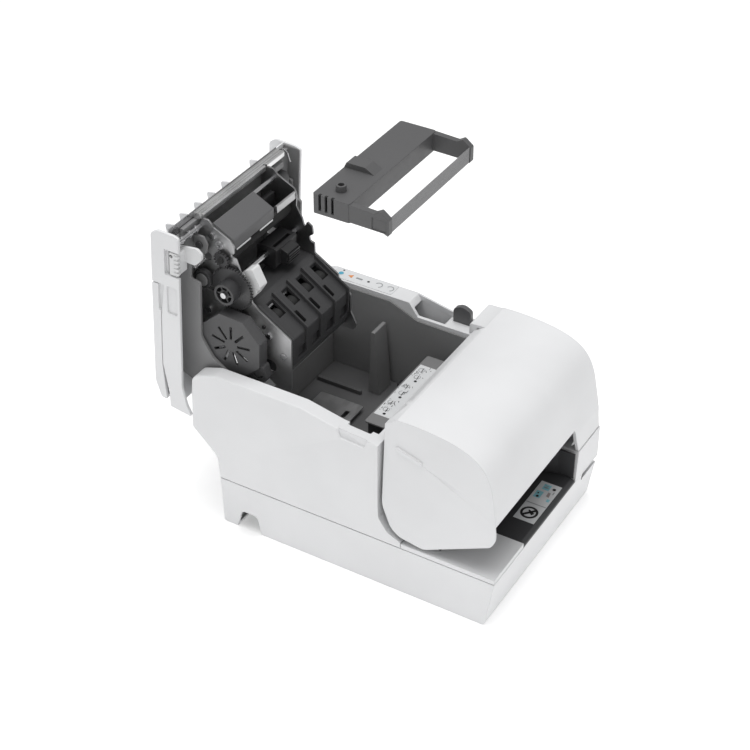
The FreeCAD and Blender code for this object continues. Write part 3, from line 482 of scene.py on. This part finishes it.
def path_label():
    """Strip along the slip path with three crowded step pictures."""
    slab("path_strip", rectangle(-32, -14, 44, 3.2), 0.2, upright(STRIP_Z), FILM,
         "case", 0.05)
    over = upright(STRIP_INK_Z)
    chance = random.Random(5)
    black, pale = [], []
    for start in (-31, -6, 19):
        black.append(circle(start + 2.4, -4.6, 1.3, 16))
        for side, depth in ((start + 5, -4.4), (start + 15, -3.0)):
            pale.append(arc_band(side + 3.4, depth + 1.4, 2.6, 0.5, 20, 320, 14))
            black.append([(side, depth), (side + 5.6, depth + 0.5), (side + 5.2, depth + 1.1),
                          (side, depth + 0.6)])
        for _ in range(STROKES_PER_PICTURE):
            u = start + chance.uniform(4.5, 22)
            v = chance.uniform(-8.6, 2.2)
            length, width = chance.uniform(0.8, 3.4), chance.uniform(0.3, 0.6)
            tilt = math.radians(chance.choice((0, 0, 90, 35, -40)))
            across = (-width * math.sin(tilt), width * math.cos(tilt))
            along = (length * math.cos(tilt), length * math.sin(tilt))
            stroke = [(u, v), (u + along[0], v + along[1]),
                      (u + along[0] + across[0], v + along[1] + across[1]),
                      (u + across[0], v + across[1])]
            (black if chance.random() < BLACK_SHARE else pale).append(stroke)
    slabs("path_strip_black", black, 0.1, over, INK_BLACK, "case")
    slabs("path_strip_grey", pale, 0.06, over, INK_GREY, "case")


def rim_indicators():
    """Lights and feed marks on the right rim's film."""
    over = upright(RIM_INK_Z)
    slab("rim_lamp", circle(RIM_X, 104, 2.2), 0.12, over, INK_CYAN, "case", 0.03)
    marks = [
        ("rim_mark_dot", circle(89, 104, 0.9, 16), INK_BLACK),
        ("rim_mark_warning", [(81.6, 92.6), (86.4, 92.6), (RIM_X, 97)], INK_ORANGE),
        ("rim_mark_pill", rectangle(83, 83, 85, 89), INK_GREY),
        ("rim_mark_small", circle(RIM_X, 77, 1.2, 18), INK_BLACK),
        ("rim_feed_arc_0", arc_band(RIM_X, 67, 3.2, 0.8, 200, 430, 18), INK_GREY),
        ("rim_feed_arc_1", arc_band(RIM_X, 56, 3.2, 0.8, 200, 430, 18), INK_GREY),
    ]
    for name, outline, colour in marks:
        slab(name, outline, 0.08, over, colour, "case", 0)


def lip_strips():
    """Two pale strips on the print head's lip."""
    def place(u, v, h):
        return standing(LIP_Y - h, v) + Vector((u * MM, 0, 0))
    for n, (x0, x1) in enumerate(((-54, -35), (-22, -4))):
        slab("lip_strip_%d" % n, rectangle(x0, 244.2, x1, 245.6), 0.4, place, FILM, "upper_unit",
             0.05)


def cross_section(name, outline, low, high, material, bevel=0.3):
    """A piece of the standing unit with one outline (y, z) between two stations along X."""
    def place(u, v, h):
        return standing(u, v) + Vector(((low + h) * MM, 0, 0))
    slab(name, outline, high - low, place, material, "upper_unit", bevel)


def coil_spring(name, low, high, y, z, radius, wire, turns):
    """A wire spring wound round a line along X."""
    curve = bpy.data.curves.new(name, "CURVE")
    curve.dimensions = "3D"
    curve.bevel_depth = wire * MM
    curve.bevel_resolution = 3
    path = curve.splines.new("POLY")
    count = turns * WIRE_STEPS
    path.points.add(count)
    for n in range(count + 1):
        angle = 2 * math.pi * n / WIRE_STEPS
        spot = standing(y + radius * math.cos(angle), z + radius * math.sin(angle))
        spot.x = (low + (high - low) * n / count) * MM
        path.points[n].co = (*spot, 1)
    curve.materials.append(BRIGHT)
    piece = bpy.data.objects.new(name, curve)
    bpy.context.scene.collection.objects.link(piece)
    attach(piece, "upper_unit")


def mechanism_details():
    """Small fixed parts of the open unit: outside its left plate, and on the inner frame."""
    arm = [(151, 253), (142, 253.4), (138.4, 247), (139.4, 239), (146, 236.6), (151, 244)]
    cross_section("release_arm", arm, -65.5, -63.2, MID)
    cross_section("release_arm_boss", circle(*RELEASE_PIVOT, 3.2), -67.5, -65.5, DARK)
    cross_section("release_arm_stub", circle(*RELEASE_PIVOT, 1.8), -63.2, PLATE_X, BRIGHT,
                  0.1)
    cross_section("idler_drum", circle(*IDLER_AXIS, 8, 40), -66, -61, DARK)
    cross_section("idler_drum_rim", circle(*IDLER_AXIS, 5.4, 32), -67, -66, MID,
                  0.2)
    cross_section("idler_stub", circle(*IDLER_AXIS, 1.6, 20), -61, PLATE_X, BRIGHT,
                  0.1)
    coil_spring("tension_spring", -74, -59, 146, 229, 2.2, 0.35, 9)
    sensor = [(FRAME_Y, 226), (146, 226), (144.4, 230), (144.4, 244), (147, 248), (FRAME_Y, 248)]
    cross_section("sensor_block", sensor, 38, 60, DARK, 0.5)
    window = [(144.35, 232), (143.9, 232), (143.9, 240), (144.35, 240)]
    cross_section("sensor_window", window, 44, 54, BRIGHT, 0.1)
    bracket = [(FRAME_Y, 252), (148.4, 252), (148.4, 258), (FRAME_Y, 259)]
    cross_section("cable_bracket", bracket, 34, 58, MID, 0.4)


def base_recess():
    """Painted shade: a black slab on the back of the recess in the base's front right corner
    darkens the recess.
    """
    shade_outline = [(64.8, -138.9), (90.8, -131.6), (90.8, -131.2), (64.8, -138.5)]
    # Painted shade: this black slab stands in for the shade inside the deep recess.
    slab("base_recess_painted_shade", shade_outline, 6.6, upright(RECESS_Z), DARKER, "case", 0.05)


slip_label()
path_label()
rim_indicators()
lip_strips()
mechanism_details()
base_recess()


# ---------------------------------------------------------------- floor, light, camera

def floor():
    material, tree, shader = new_material("pale_floor")
    noise = add(tree, "ShaderNodeTexNoise", Scale=3.0, Detail=2.0)
    tree.links.new(ramp(tree, noise.outputs["Fac"], grey(0.94), grey(0.96)),
                   shader.inputs["Base Color"])
    shader.inputs["Roughness"].default_value = 0.6
    shader.inputs["Emission Color"].default_value = WHITE_LIGHT
    shader.inputs["Emission Strength"].default_value = FLOOR_GLOW
    work = bmesh.new()
    bmesh.ops.create_grid(work, x_segments=2, y_segments=2, size=FLOOR_HALF)
    mesh = bpy.data.meshes.new("floor")
    work.to_mesh(mesh)
    work.free()
    mesh.materials.append(material)
    plane = bpy.data.objects.new("floor", mesh)
    bpy.context.scene.collection.objects.link(plane)


def light(name, place, target, size, power):
    lamp = bpy.data.lights.new(name, "AREA")
    lamp.size = size
    lamp.energy = power
    holder = bpy.data.objects.new(name, lamp)
    holder.location = place
    holder.rotation_euler = (Vector(target) - Vector(place)).to_track_quat("-Z", "Y").to_euler()
    bpy.context.scene.collection.objects.link(holder)


def world():
    sky = bpy.data.worlds.new("studio")
    sky.use_nodes = True
    background = sky.node_tree.nodes["Background"]
    background.inputs["Color"].default_value = WHITE_LIGHT
    background.inputs["Strength"].default_value = SKY_STRENGTH
    bpy.context.scene.world = sky


def camera():
    lens = bpy.data.cameras.new("camera")
    lens.lens = LENS_MM
    lens.sensor_width = SENSOR_MM
    lens.clip_start = NEAR_LIMIT
    lens.clip_end = FAR_LIMIT
    holder = bpy.data.objects.new("camera", lens)
    holder.location = CAMERA_PLACE
    aim = Vector(CAMERA_AIM) - holder.location
    holder.rotation_euler = aim.to_track_quat("-Z", "Y").to_euler()
    bpy.context.scene.collection.objects.link(holder)
    bpy.context.scene.camera = holder


floor()
world()
for settings in LIGHTS:
    light(*settings)
camera()
bpy.context.scene.view_settings.view_transform = "Standard"
